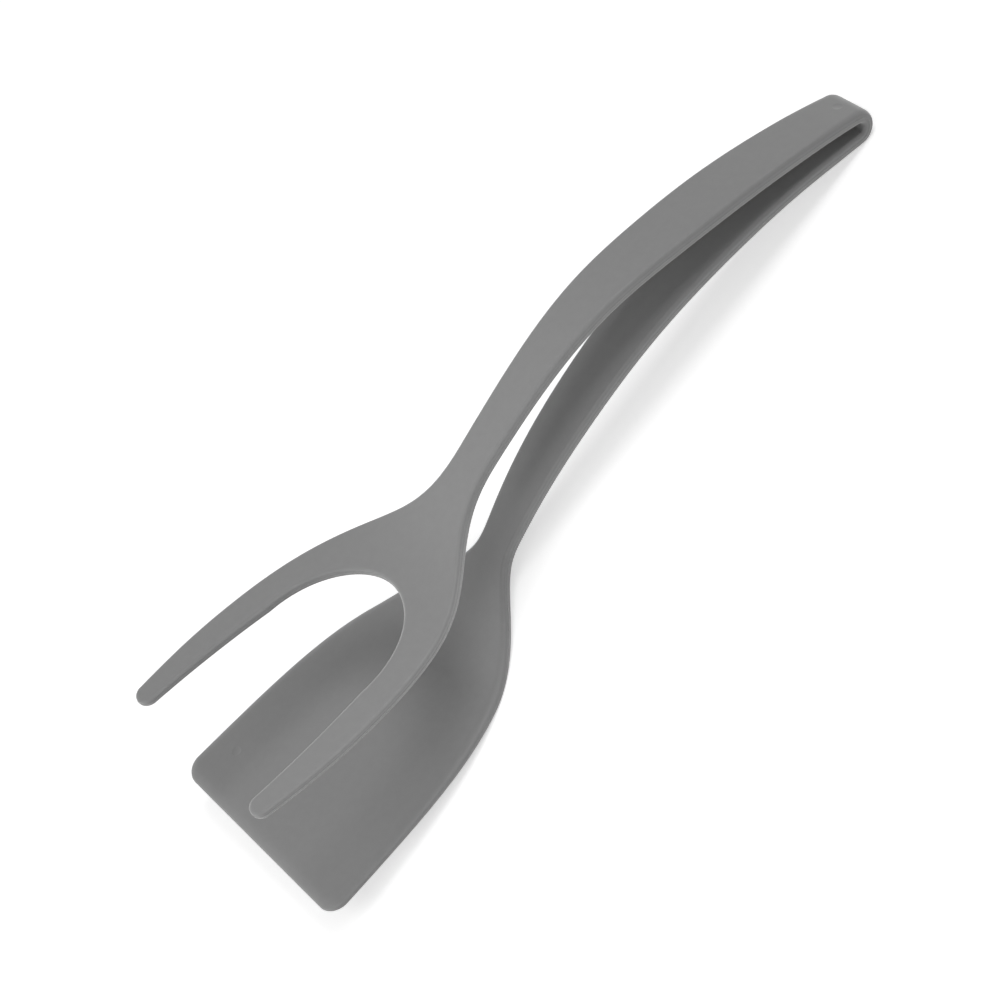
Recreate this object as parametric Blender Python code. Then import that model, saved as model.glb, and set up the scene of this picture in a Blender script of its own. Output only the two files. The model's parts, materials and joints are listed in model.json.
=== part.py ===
"""Spatula tongs: one soft strap bent double, with a flat turner blade below and a two-pronged fork above.

The silicone skin hides a stainless spring strip that runs the whole way from blade to fork, and a
glass-filled nylon plate in each head, keyed on the strip's T-shaped ends. Every piece starts as a flat
pattern, laid out along the strap, and is then formed to the strap's side profile.

Blade frame: +X from the blade's front edge to the heel bend, +Z from the blade to the fork, Y = 0 the
plane of symmetry, Z = 0 the middle of the blade's thickness. Metres.
"""

import math

import bmesh
import bpy
import numpy as np
from mathutils import Matrix, Vector

OBJECT_NAME = "spatula_tongs"

# Whole object
LENGTH = 0.295  # front edge of the blade to the outside of the heel bend
NECK_AT = 0.1239  # front edge of the blade to the narrowest place of its neck
UPPER_ARCH_HEIGHT = 0.0637  # middle of the upper strap at its highest
LOWER_ARCH_HEIGHT = 0.0434  # middle of the lower strap at its highest
GAP = 0.0003  # between pieces that touch

# Strap seen from above
BLADE_WIDTH = 0.0846
BLADE_CORNER_RADIUS = 0.0062
BLADE_RISE_LENGTH = 0.0449  # the blade curves up over this length in front of the neck
FORK_WIDTH = 0.0749
FORK_SETBACK = 0.0061  # the prong tips stop this far behind the blade's front edge
PRONG_TIP_RADIUS = 0.0038
CROTCH_WIDTH = 0.0511  # between the prongs, where they start to curve together
CROTCH_DEPTH = 0.0309  # over which they curve together
PALM_LENGTH = 0.0391  # from the crotch back to the neck
TIP_OPENING = 0.0557  # between the prongs at their tips
NECK_WIDTH = 0.0142
HANDLE_WIDTH = 0.0207
HEEL_WIDTH = 0.0163

# Strap thickness and edges
BLADE_LIP_THICKNESS = 0.0019
BLADE_THICKNESS = 0.0031
PRONG_TIP_THICKNESS = 0.0027
PALM_THICKNESS = 0.0034
ARM_THICKNESS = 0.0043
EDGE_RADIUS = 0.0012
HEEL_RADIUS = 0.0040  # of the strap's middle round the heel bend
LOWER_HEEL_ANGLE = math.radians(-14.1)  # direction of the lower arm where the bend starts
UPPER_HEEL_ANGLE = math.radians(157.7)  # direction of the upper arm where the bend ends
HEEL_CENTRE_HEIGHT = 0.0374

HANDLE_LENGTH = LENGTH - NECK_AT
BLADE_FLAT_LENGTH = NECK_AT - BLADE_RISE_LENGTH
CROTCH_END = NECK_AT - PALM_LENGTH
CROTCH_START = CROTCH_END - CROTCH_DEPTH

# Side profile knots, each a share along and a share up
# Along: rise knots, of BLADE_RISE_LENGTH; head knots, of NECK_AT; front and rear knots, of HANDLE_LENGTH
# Up: of the arm's arch height, but for rear knots of the way from the heel's height to the arch's
LOWER_RISE_SHARES = ((0.468, 0.122), (0.869, 0.349))
LOWER_FRONT_SHARES = ((0.071, 0.573), (0.240, 0.818), (0.445, 0.979), (0.609, 1.000))
LOWER_REAR_SHARES = ((0.795, 0.443),)
UPPER_REAR_SHARES = ((0.853, 0.418), (0.679, 0.727), (0.533, 0.903))
UPPER_FRONT_SHARES = ((0.374, 1.000), (0.240, 0.957), (0.105, 0.857))
UPPER_HEAD_SHARES = ((0.969, 0.736), (0.847, 0.648), (0.743, 0.610), (0.564, 0.630), (0.283, 0.696))
FORK_TIP_HEIGHT_SHARE = 0.749

# Plan knots, each a share along and a share out
# Along: head and neck knots, of NECK_AT; handle knots, of HANDLE_LENGTH
# Out: head knots, of the head's half width; others, of the way from the neck's half width to the handle's
BLADE_PLAN_SHARES = (
    (0.243, 0.972),
    (0.443, 0.919),
    (0.564, 0.846),
    (0.709, 0.671),
    (0.824, 0.423),
    (0.888, 0.260),
)
LOWER_NECK_PLAN_SHARES = ((0.940, 0.08), (1.000, 0.00))
LOWER_HANDLE_PLAN_SHARES = ((0.152, 0.50), (0.386, 0.87), (0.655, 1.00))
FORK_PLAN_SHARES = (
    (0.243, 1.000),
    (0.402, 0.988),
    (0.564, 0.913),
    (0.662, 0.811),
    (0.743, 0.668),
    (0.807, 0.511),
    (0.871, 0.351),
)
UPPER_NECK_PLAN_SHARES = ((0.936, 0.60), (1.000, 0.07))
UPPER_HANDLE_PLAN_SHARES = ((0.053, 0.00), (0.188, 0.19), (0.445, 0.77), (0.655, 1.00))
THICKNESS_STEP_SHARES = (0.476, 1.048)  # heads thicken to the arms between these shares of NECK_AT

# Spring strip
STRIP_THICKNESS = 0.0010
STRIP_WIDTH = 0.0100
STRIP_HEAD_WIDTH = 0.0180  # the T at each end
STRIP_HEAD_LENGTH = 0.0070
STRIP_SEAT_IN_BLADE = 0.0230  # how far the T reaches into the blade plate
STRIP_SEAT_IN_FORK = 0.0120

# Head plates
HEAD_WALL = 0.0005  # silicone over and under a plate
SIDE_WALL = 0.0028  # silicone round the rim of a plate
BLADE_LIP = 0.0160  # soft front lip, in front of the plate
PRONG_LIP = 0.0100
BLADE_PLATE_TO_NECK = 0.0229
FORK_PLATE_TAIL = 0.0183  # from the crotch to the rear end of the fork plate
BLADE_PLATE_END = NECK_AT - BLADE_PLATE_TO_NECK
FORK_PLATE_END = CROTCH_END + FORK_PLATE_TAIL

# Holes that the silicone grips through
PLATE_HOLE_RADIUS = 0.0035
BLADE_HOLES_FROM_FRONT = 0.0160  # front row, from the front edge of the blade plate
BLADE_HOLE_ROW_PITCH = 0.0250
BLADE_HOLE_PITCH = 0.0230
FORK_HOLE_PITCH = 0.0380  # one beside each end of the crotch
STRIP_HOLE_RADIUS = 0.0022
STRIP_HOLES_FROM_BLADE = 0.0270  # first hole, from the rear end of the blade plate
STRIP_HOLE_PITCH = 0.0320
STRIP_HOLES = 4  # along each arm

# Flexures
FLEXURE_FROM_HEEL = 0.030

# Mesh density
PROFILE_STEP = 0.0005
OUTLINE_STEP = 0.0040
STATION_TURN = math.radians(5)
STATION_STEP = 0.0120
CORNER_SEGMENTS = 6
CROTCH_SEGMENTS = 12
HOLE_SEGMENTS = 12
EDGE_RESOLUTION = 1
CUT_OVERRUN = 0.0040
MERGE = 0.00003
FLAT_ANGLE = math.radians(0.1)
SHARP_ANGLE = math.radians(35)

COLOURS = {
    "silicone": ((0.23, 0.23, 0.23, 1.0), 0.62, 0.0),
    "steel": ((0.56, 0.56, 0.55, 1.0), 0.32, 1.0),
    "nylon": ((0.045, 0.045, 0.05, 1.0), 0.48, 0.0),
}


def spline_points(knots, first=None, last=None):
    """Points along the smoothest cubic through the knots, with end directions where they are given."""
    knots = np.array(knots)
    chord = np.linalg.norm(np.diff(knots, axis=0), axis=1)
    count = len(knots)
    weights = np.zeros((count, count))
    sides = np.zeros((count, 2))
    for i in range(1, count - 1):
        before, after = chord[i - 1], chord[i]
        weights[i, i - 1 : i + 2] = after, 2 * (before + after), before
        rise, fall = (knots[i] - knots[i - 1]) / before, (knots[i + 1] - knots[i]) / after
        sides[i] = 3 * (after * rise + before * fall)
    for row, inner, direction, start in ((0, 1, first, 0), (-1, -2, last, -2)):
        if direction is None:
            weights[row, row], weights[row, inner] = 2, 1
            sides[row] = 3 * (knots[start + 1] - knots[start]) / chord[start if start == 0 else -1]
        else:
            weights[row, row] = 1
            sides[row] = direction
    slopes = np.linalg.solve(weights, sides)
    points = []
    for i in range(count - 1):
        steps = max(2, round(chord[i] / PROFILE_STEP))
        for t in np.arange(steps) / steps:
            points.append(
                (1 + 2 * t) * (1 - t) ** 2 * knots[i]
                + t**2 * (3 - 2 * t) * knots[i + 1]
                + t * (1 - t) * chord[i] * ((1 - t) * slopes[i] - t * slopes[i + 1])
            )
    points.append(knots[-1])
    return np.array(points)


def heading(angle):
    return np.array((math.cos(angle), math.sin(angle)))


def smoothstep(share):
    share = np.clip(share, 0, 1)
    return share * share * (3 - 2 * share)


def handle_knots(shares, low, high):
    """Places along the handle, at shares of the way from a low value to a high one."""
    return [(NECK_AT + along * HANDLE_LENGTH, low + up * (high - low)) for along, up in shares]


def head_knots(shares, low, high, start=0.0):
    """Places in front of the neck, at shares of the way from a low value to a high one."""
    return [(start + along * (NECK_AT - start), low + up * (high - low)) for along, up in shares]


class Strap:
    """The strap's middle line from the blade's front edge, round the heel bend, to the prong tips."""

    def __init__(self):
        centre = np.array((LENGTH - ARM_THICKNESS / 2 - HEEL_RADIUS, HEEL_CENTRE_HEIGHT))
        turn = np.linspace(LOWER_HEEL_ANGLE, UPPER_HEEL_ANGLE, round(math.pi * HEEL_RADIUS / PROFILE_STEP))
        bend = [centre + HEEL_RADIUS * np.array((math.sin(a), -math.cos(a))) for a in turn]
        flat = [(x, 0) for x in np.arange(0, BLADE_FLAT_LENGTH, PROFILE_STEP)]
        lower_knots = [
            (BLADE_FLAT_LENGTH, 0),
            *head_knots(LOWER_RISE_SHARES, 0, LOWER_ARCH_HEIGHT, BLADE_FLAT_LENGTH),
            *handle_knots(LOWER_FRONT_SHARES, 0, LOWER_ARCH_HEIGHT),
            *handle_knots(LOWER_REAR_SHARES, HEEL_CENTRE_HEIGHT, LOWER_ARCH_HEIGHT),
            bend[0],
        ]
        upper_knots = [
            bend[-1],
            *handle_knots(UPPER_REAR_SHARES, HEEL_CENTRE_HEIGHT, UPPER_ARCH_HEIGHT),
            *handle_knots(UPPER_FRONT_SHARES, 0, UPPER_ARCH_HEIGHT),
            *head_knots(UPPER_HEAD_SHARES, 0, UPPER_ARCH_HEIGHT),
            (FORK_SETBACK, FORK_TIP_HEIGHT_SHARE * UPPER_ARCH_HEIGHT),
        ]
        lower = spline_points(lower_knots, heading(0), heading(LOWER_HEEL_ANGLE))
        upper = spline_points(upper_knots, heading(UPPER_HEEL_ANGLE))
        self.points = np.concatenate([flat, lower, bend[1:-1], upper])
        runs = np.linalg.norm(np.diff(self.points, axis=0), axis=1)
        self.lengths = np.concatenate([[0], np.cumsum(runs)])
        slopes = np.gradient(self.points, self.lengths, axis=0)
        self.angles = np.unwrap(np.arctan2(slopes[:, 1], slopes[:, 0]))
        self.bend_start = self.lengths[len(flat) + len(lower) - 1]
        self.bend_end = self.lengths[-len(upper)]
        self.end = self.lengths[-1]

    def along(self, x, upper=False):
        """How far along the strap the lower or upper arm reaches this X."""
        if upper:
            arm = self.lengths >= self.bend_end
            return np.interp(x, self.points[arm, 0][::-1], self.lengths[arm][::-1])
        arm = self.lengths <= self.bend_start
        return np.interp(x, self.points[arm, 0], self.lengths[arm])

    def x_at(self, s):
        return np.interp(s, self.lengths, self.points[:, 0])

    def angle_at(self, s):
        return np.interp(s, self.lengths, self.angles)

    def place(self, s, y, depth):
        """The point at this length, side and depth; a positive depth is inside the bend."""
        along_x, along_z = heading(self.angle_at(s))
        past_end = s - min(max(s, 0), self.end)
        x = self.x_at(s) + past_end * along_x - depth * along_z
        z = np.interp(s, self.lengths, self.points[:, 1]) + past_end * along_z + depth * along_x
        return Vector((x, y, z))

    def stations(self):
        """Lengths at which a flat pattern is creased, closer together where the strap turns more."""
        found = [0]
        for s in self.lengths:
            turned = abs(self.angle_at(s) - self.angle_at(found[-1]))
            if turned >= STATION_TURN or s - found[-1] >= STATION_STEP:
                found.append(s)
        return found[1:]


def thickness_at(strap, s):
    """Skin thickness, from the thin heads to the arms."""
    x = strap.x_at(s)
    start, stop = (share * NECK_AT for share in THICKNESS_STEP_SHARES)
    upper = s > (strap.bend_start + strap.bend_end) / 2
    tip, head = (PRONG_TIP_THICKNESS, PALM_THICKNESS) if upper else (BLADE_LIP_THICKNESS, BLADE_THICKNESS)
    thin = tip + (head - tip) * np.clip(x / start, 0, 1)
    return thin + (ARM_THICKNESS - head) * smoothstep((x - start) / (stop - start))


def plan_tables(strap):
    """Half widths of the strap's outer edge, as (lengths, half widths) over its whole length."""
    heel = (LENGTH - ARM_THICKNESS / 2 - HEEL_RADIUS, HEEL_WIDTH / 2)
    blade_half, fork_half, neck, handle = BLADE_WIDTH / 2, FORK_WIDTH / 2, NECK_WIDTH / 2, HANDLE_WIDTH / 2
    lower_knots = [
        (0, blade_half),
        *head_knots(BLADE_PLAN_SHARES, 0, blade_half),
        *head_knots(LOWER_NECK_PLAN_SHARES, neck, handle),
        *handle_knots(LOWER_HANDLE_PLAN_SHARES, neck, handle),
        heel,
    ]
    upper_knots = [
        (FORK_SETBACK, TIP_OPENING / 2 + 2 * PRONG_TIP_RADIUS),
        *head_knots(FORK_PLAN_SHARES, 0, fork_half),
        *head_knots(UPPER_NECK_PLAN_SHARES, neck, handle),
        *handle_knots(UPPER_HANDLE_PLAN_SHARES, neck, handle),
        heel,
    ]
    lower, upper = spline_points(lower_knots), spline_points(upper_knots)
    lengths = np.concatenate([strap.along(lower[:, 0]), strap.along(upper[::-1, 0], upper=True)])
    return lengths, np.concatenate([lower[:, 1], upper[::-1, 1]])


def arc(centre, radius, start, stop, segments):
    """Points on an arc in the flat pattern, its angles in quarter turns."""
    angles = np.linspace(start, stop, segments + 1) * math.pi / 2
    return [(centre[0] + radius * math.cos(a), centre[1] + radius * math.sin(a)) for a in angles]


def side_run(table, start, stop):
    """Points down one outer edge of the flat pattern, between two lengths."""
    count = max(2, round(abs(stop - start) / OUTLINE_STEP))
    return [(s, np.interp(s, *table)) for s in np.linspace(start, stop, count + 1)]


def mirrored(half):
    """A closed outline from its half at +Y, which starts and ends anywhere on or off the axis."""
    return half + [(s, -y) for s, y in reversed(half) if y > MERGE]


def grown(outline, distance):
    """The outline with each point moved out along the mean of its edges' normals."""
    points = np.array(outline)
    ahead = np.roll(points, -1, axis=0) - points
    ahead /= np.linalg.norm(ahead, axis=1)[:, None]
    normals = np.stack([ahead[:, 1], -ahead[:, 0]], axis=1)
    bisector = normals + np.roll(normals, 1, axis=0)
    bisector /= (bisector**2).sum(axis=1)[:, None] / 2
    area = (points[:, 0] * np.roll(points[:, 1], -1) - np.roll(points[:, 0], -1) * points[:, 1]).sum()
    return [tuple(point) for point in points + distance * np.sign(area) * bisector]


def blade_outline(table, front, stop):
    """The spatula's flat pattern from a front edge, with rounded corners, to a length up the arm."""
    corner = front + BLADE_CORNER_RADIUS
    half = np.interp(corner, *table)
    centre = (corner, half - BLADE_CORNER_RADIUS)
    rounded = arc(centre, BLADE_CORNER_RADIUS, 2, 1, CORNER_SEGMENTS)
    return mirrored(rounded + side_run(table, corner + OUTLINE_STEP, stop))


def fork_outline(strap, table, tip_cut, stop):
    """The fork's flat pattern: the outer edge, a round tip, the inner edge and the crotch."""
    tip = strap.end - tip_cut - PRONG_TIP_RADIUS
    outer = np.interp(tip, *table)
    start, crotch_end = strap.along(CROTCH_START, upper=True), strap.along(CROTCH_END, upper=True)
    tip_centre = (tip, outer - PRONG_TIP_RADIUS)
    rounded = arc(tip_centre, PRONG_TIP_RADIUS, 1, -1, 2 * CORNER_SEGMENTS)
    inner_tip = rounded[-1]
    crotch_half = CROTCH_WIDTH / 2
    count = round((inner_tip[0] - start) / (2 * OUTLINE_STEP))
    inner = [
        (s, inner_tip[1] + (crotch_half - inner_tip[1]) * ((inner_tip[0] - s) / (inner_tip[0] - start)) ** 2)
        for s in np.linspace(inner_tip[0], start, count + 1)[1:-1]
    ]
    depth = start - crotch_end
    quarter = np.linspace(0, math.pi / 2, CROTCH_SEGMENTS + 1)[:-1]
    crotch = [(start - depth * math.sin(a), crotch_half * math.cos(a)) for a in quarter]
    return mirrored(side_run(table, stop, tip - OUTLINE_STEP) + rounded + inner + crotch + [(crotch_end, 0)])


def strip_outline(strap):
    """The spring strip's flat pattern: a long strap with a T at each end."""
    start = strap.along(BLADE_PLATE_END - STRIP_SEAT_IN_BLADE)
    stop = strap.along(FORK_PLATE_END - STRIP_SEAT_IN_FORK, upper=True)
    head, neck = STRIP_HEAD_WIDTH / 2, STRIP_WIDTH / 2
    shoulders = (start + STRIP_HEAD_LENGTH, stop - STRIP_HEAD_LENGTH)
    return mirrored(
        [
            (start, head),
            (shoulders[0], head),
            (shoulders[0], neck),
            (shoulders[1], neck),
            (shoulders[1], head),
            (stop, head),
        ]
    )


def circle(centre, radius):
    return arc(centre, radius, 0, 4, HOLE_SEGMENTS)[:-1]


def blade_holes(strap):
    """Centres of two rows of three holes in the flat pattern."""
    front = BLADE_LIP + BLADE_HOLES_FROM_FRONT
    rows = (front, front + BLADE_HOLE_ROW_PITCH)
    return [(strap.along(x), side * BLADE_HOLE_PITCH) for x in rows for side in (-1, 0, 1)]


def fork_holes(strap):
    """Centres of the two holes, one at the root of each prong, level with the end of the crotch."""
    s = strap.along(CROTCH_END, upper=True)
    return [(s, side * FORK_HOLE_PITCH / 2) for side in (-1, 1)]


def strip_holes(strap):
    """Centres of the holes along both arms of the spring strip."""
    first = BLADE_PLATE_END + STRIP_HOLES_FROM_BLADE
    places = [first + i * STRIP_HOLE_PITCH for i in range(STRIP_HOLES)]
    return [(strap.along(x, upper), 0) for upper in (False, True) for x in places]


def flat_mesh(name, outline, thickness, edge_radius=0.0, holes=()):
    """A plate of the flat pattern, with holes, and with its rim rounded to the outline."""
    curve = bpy.data.curves.new(name, "CURVE")
    curve.dimensions = "2D"
    curve.fill_mode = "BOTH"
    curve.bevel_depth = edge_radius
    curve.bevel_resolution = EDGE_RESOLUTION
    curve.extrude = thickness / 2 - edge_radius
    for points in (grown(outline, -edge_radius), *holes):
        spline = curve.splines.new("POLY")
        spline.points.add(len(points) - 1)
        for place, (s, y) in zip(spline.points, points):
            place.co = (s, y, 0, 1)
        spline.use_cyclic_u = True
    pattern = bpy.data.objects.new(name, curve)
    bpy.context.scene.collection.objects.link(pattern)
    graph = bpy.context.evaluated_depsgraph_get()
    mesh = bpy.data.meshes.new_from_object(pattern.evaluated_get(graph))
    bpy.data.objects.remove(pattern)
    bpy.data.curves.remove(curve)
    return mesh


def form(mesh, strap, thickness=None, flat_thickness=ARM_THICKNESS, keep=()):
    """Bends a flat mesh to the side profile, cut off at the lengths to keep and pressed to a thickness."""
    bm = bmesh.new()
    bm.from_mesh(mesh)
    bmesh.ops.remove_doubles(bm, verts=bm.verts, dist=MERGE)
    bmesh.ops.dissolve_limit(bm, angle_limit=FLAT_ANGLE, verts=bm.verts, edges=bm.edges)
    for s, outward in zip(keep, (-1, 1)):
        cut = bmesh.ops.bisect_plane(
            bm,
            geom=bm.verts[:] + bm.edges[:] + bm.faces[:],
            dist=MERGE,
            plane_co=(s, 0, 0),
            plane_no=(outward, 0, 0),
            clear_outer=True,
        )
        rim = [edge for edge in cut["geom_cut"] if isinstance(edge, bmesh.types.BMEdge)]
        bmesh.ops.edgeloop_fill(bm, edges=rim)
    for s in strap.stations():
        bmesh.ops.bisect_plane(
            bm,
            geom=bm.verts[:] + bm.edges[:] + bm.faces[:],
            dist=MERGE,
            plane_co=(s, 0, 0),
            plane_no=(1, 0, 0),
        )
    bmesh.ops.dissolve_degenerate(bm, dist=MERGE, edges=bm.edges)
    bmesh.ops.triangulate(bm, faces=bm.faces)
    for vert in bm.verts:
        s, y, depth = vert.co
        pressed = thickness(s) / flat_thickness if thickness else 1
        vert.co = strap.place(s, y, depth * pressed)
    bmesh.ops.recalc_face_normals(bm, faces=bm.faces)
    if bm.calc_volume(signed=True) < 0:
        bmesh.ops.reverse_faces(bm, faces=bm.faces)
    bm.to_mesh(mesh)
    bm.free()
    mesh.shade_smooth()
    mesh.set_sharp_from_angle(angle=SHARP_ANGLE)
    return mesh


def new_collection(name, hidden=False):
    collection = bpy.data.collections.new(name)
    collection.hide_render = hidden
    bpy.context.scene.collection.children.link(collection)
    return collection


def new_material(name):
    colour, roughness, metallic = COLOURS[name]
    material = bpy.data.materials.new(name)
    material.use_nodes = True
    shader = material.node_tree.nodes["Principled BSDF"]
    shader.inputs["Base Color"].default_value = colour
    shader.inputs["Roughness"].default_value = roughness
    shader.inputs["Metallic"].default_value = metallic
    return material


def add_piece(name, mesh, collection, anchor, material):
    """Adds an object whose mesh is still in the blade frame, carried by an empty on its joint's axis."""
    mesh.transform(Matrix.Translation(-Vector(anchor["in_blade_frame"])))
    mesh.materials.append(material)
    piece = bpy.data.objects.new(name, mesh)
    piece.parent = anchor
    collection.objects.link(piece)
    return piece


def add_cutter(name, mesh, collection, frame):
    cutter = bpy.data.objects.new(name, mesh)
    cutter.parent = frame
    cutter.hide_render = True
    cutter.display_type = "WIRE"
    collection.objects.link(cutter)
    return cutter


def cut_out(piece, cutter):
    modifier = piece.modifiers.new(cutter.name, "BOOLEAN")
    modifier.operation = "DIFFERENCE"
    modifier.solver = "EXACT"
    modifier.object = cutter


def add_anchor(name, collection, place, parent=None):
    """An empty at a point of the blade frame, which it keeps as a property for its children."""
    anchor = bpy.data.objects.new(name, None)
    anchor.empty_display_size = HANDLE_WIDTH / 2
    anchor["in_blade_frame"] = tuple(place)
    anchor.parent = parent
    anchor.location = place - Vector(parent["in_blade_frame"]) if parent else place
    collection.objects.link(anchor)
    return anchor


def resting_tilt(strap):
    """Slope of the line that touches the blade's underside and the heel, on which the tongs rest."""
    lower = strap.lengths[strap.lengths < (strap.bend_start + strap.bend_end) / 2]
    under = np.array([strap.place(s, 0, -thickness_at(strap, s) / 2) for s in lower])[:, ::2]
    blade, heel = under[under[:, 0] < LENGTH / 2], under[under[:, 0] > LENGTH / 2]
    slopes = (heel[None, :, 1] - blade[:, None, 1]) / (heel[None, :, 0] - blade[:, None, 0])
    return math.atan(slopes.min(axis=1).max())


def stand(frame, pieces, tilt):
    """Tilts the whole on to the table and puts the middle of its box's base at the origin."""
    frame.rotation_euler.y = tilt
    bpy.context.view_layer.update()
    corners = np.array([piece.matrix_world @ vert.co for piece in pieces for vert in piece.data.vertices])
    low, high = corners.min(axis=0), corners.max(axis=0)
    frame.location = (-(low[0] + high[0]) / 2, 0, -low[2])


def thickness_less(strap, wall):
    """The strap's thickness at each length, less a wall on both faces."""

    def thickness(s):
        return thickness_at(strap, s) - 2 * wall

    return thickness


def make_skin(name, outline, keep, model, anchor):
    """One length of the silicone skin, still solid inside."""
    mesh = flat_mesh(name, outline, ARM_THICKNESS, EDGE_RADIUS)
    form(mesh, model.strap, thickness_less(model.strap, 0), ARM_THICKNESS, keep)
    return add_piece(name, mesh, model.parts, anchor, model.silicone)


def make_plate(name, outline, holes_at, model, anchor):
    """A nylon head plate, and the room for it in the skin, with posts of skin through its holes."""
    holes = [circle(centre, PLATE_HOLE_RADIUS) for centre in holes_at]
    mesh = flat_mesh(name, outline, BLADE_THICKNESS, holes=holes)
    form(mesh, model.strap, thickness_less(model.strap, HEAD_WALL + GAP), BLADE_THICKNESS)
    plate = add_piece(name, mesh, model.parts, anchor, model.nylon)
    posts = [circle(centre, PLATE_HOLE_RADIUS - GAP) for centre in holes_at]
    room_mesh = flat_mesh(name + "_room", grown(outline, GAP), BLADE_THICKNESS, holes=posts)
    form(room_mesh, model.strap, thickness_less(model.strap, HEAD_WALL), BLADE_THICKNESS)
    return plate, add_cutter(name + "_room", room_mesh, model.cutters, model.frame)


def make_strip(model):
    """The spring strip, the room for it in the skin, and the notch for its T in the head plates."""
    outline = strip_outline(model.strap)
    centres = strip_holes(model.strap)
    holes = [circle(centre, STRIP_HOLE_RADIUS) for centre in centres]
    posts = [circle(centre, STRIP_HOLE_RADIUS - GAP) for centre in centres]
    mesh = flat_mesh("spring_strip", outline, STRIP_THICKNESS, holes=holes)
    form(mesh, model.strap)
    add_piece("spring_strip", mesh, model.parts, model.heel_anchor, model.steel)
    room_mesh = flat_mesh("strip_room", grown(outline, GAP), STRIP_THICKNESS + 2 * GAP, holes=posts)
    form(room_mesh, model.strap)
    notch_mesh = flat_mesh("plate_notch", grown(outline, GAP), ARM_THICKNESS)
    form(notch_mesh, model.strap)
    room = add_cutter("strip_room", room_mesh, model.cutters, model.frame)
    return room, add_cutter("plate_notch", notch_mesh, model.cutters, model.frame)


class Model:
    """The strap, the collections, the materials and the empties that the pieces hang on."""

    def __init__(self):
        self.parts = new_collection(OBJECT_NAME)
        self.cutters = new_collection("cutters", hidden=True)
        self.silicone, self.steel, self.nylon = (new_material(name) for name in COLOURS)
        self.strap = Strap()
        self.table = plan_tables(self.strap)
        flexure_x = LENGTH - FLEXURE_FROM_HEEL
        self.lower_flexure = self.strap.along(flexure_x)
        self.upper_flexure = self.strap.along(flexure_x, upper=True)
        self.frame = add_anchor("resting_frame", self.parts, Vector((0, 0, 0)))
        lower_axis = self.strap.place(self.lower_flexure, 0, 0)
        upper_axis = self.strap.place(self.upper_flexure, 0, 0)
        self.heel_anchor = add_anchor("lower_flexure", self.parts, lower_axis, self.frame)
        self.fork_anchor = add_anchor("upper_flexure", self.parts, upper_axis, self.heel_anchor)


def make_spatula_arm(model, strip_room, plate_notch):
    strap, table = model.strap, model.table
    cut = model.lower_flexure
    outline = blade_outline(table, 0, cut + CUT_OVERRUN)
    skin = make_skin("spatula_skin", outline, (-CUT_OVERRUN, cut - GAP / 2), model, model.frame)
    plate_stop = strap.along(BLADE_PLATE_END) + SIDE_WALL
    plate_outline = grown(blade_outline(table, BLADE_LIP - SIDE_WALL, plate_stop), -SIDE_WALL)
    plate, plate_room = make_plate("blade_plate", plate_outline, blade_holes(strap), model, model.frame)
    cut_out(plate, plate_notch)
    cut_out(skin, plate_room)
    cut_out(skin, strip_room)
    return skin


def make_heel(model, strip_room):
    start, stop = model.lower_flexure, model.upper_flexure
    outline = mirrored(side_run(model.table, start - CUT_OVERRUN, stop + CUT_OVERRUN))
    skin = make_skin("heel_skin", outline, (start + GAP / 2, stop - GAP / 2), model, model.heel_anchor)
    cut_out(skin, strip_room)
    return skin


def make_fork_arm(model, strip_room, plate_notch):
    strap, table = model.strap, model.table
    cut = model.upper_flexure
    outline = fork_outline(strap, table, 0, cut - CUT_OVERRUN)
    keep = (cut + GAP / 2, strap.end + CUT_OVERRUN)
    skin = make_skin("fork_skin", outline, keep, model, model.fork_anchor)
    plate_stop = strap.along(FORK_PLATE_END, upper=True) - SIDE_WALL
    plate_outline = grown(fork_outline(strap, table, PRONG_LIP - SIDE_WALL, plate_stop), -SIDE_WALL)
    plate, plate_room = make_plate("fork_plate", plate_outline, fork_holes(strap), model, model.fork_anchor)
    cut_out(plate, plate_notch)
    cut_out(skin, plate_room)
    cut_out(skin, strip_room)
    return skin


def build():
    for obj in list(bpy.data.objects):
        bpy.data.objects.remove(obj)
    model = Model()
    strip_room, plate_notch = make_strip(model)
    skins = (
        make_spatula_arm(model, strip_room, plate_notch),
        make_heel(model, strip_room),
        make_fork_arm(model, strip_room, plate_notch),
    )
    stand(model.frame, skins, resting_tilt(model.strap))


build()
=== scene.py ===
"""Spatula tongs: a seamless matt silicone skin, moulded over a spring strip and a stiff plate in each head.

The skin and the strip start as flat patterns, measured along the strap, across it and in depth, towards the
inside of the heel bend. Each is pressed to its thickness and bent to the strap's side profile.
Blade frame: +X from the blade's front edge to the heel, +Z from blade to fork. Metres.
"""

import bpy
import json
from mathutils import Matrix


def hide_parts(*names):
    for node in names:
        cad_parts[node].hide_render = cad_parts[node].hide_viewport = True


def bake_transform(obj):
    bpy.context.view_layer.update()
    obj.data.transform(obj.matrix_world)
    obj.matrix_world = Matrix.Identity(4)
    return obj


bl_info = {
    "name": "Spatula tongs",
    "version": (1, 0, 0),
    "blender": (4, 5, 0),
    "location": "3D View > Sidebar > Tongs",
    "description": "Dresses the tongs: silicone skins, spring strip, head plates and a plain studio",
    "category": "Add Mesh",
}

import json
import math

import bmesh
import bpy
import numpy as np
from bpy.props import FloatProperty, FloatVectorProperty, PointerProperty
from mathutils import Matrix, Vector

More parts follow.
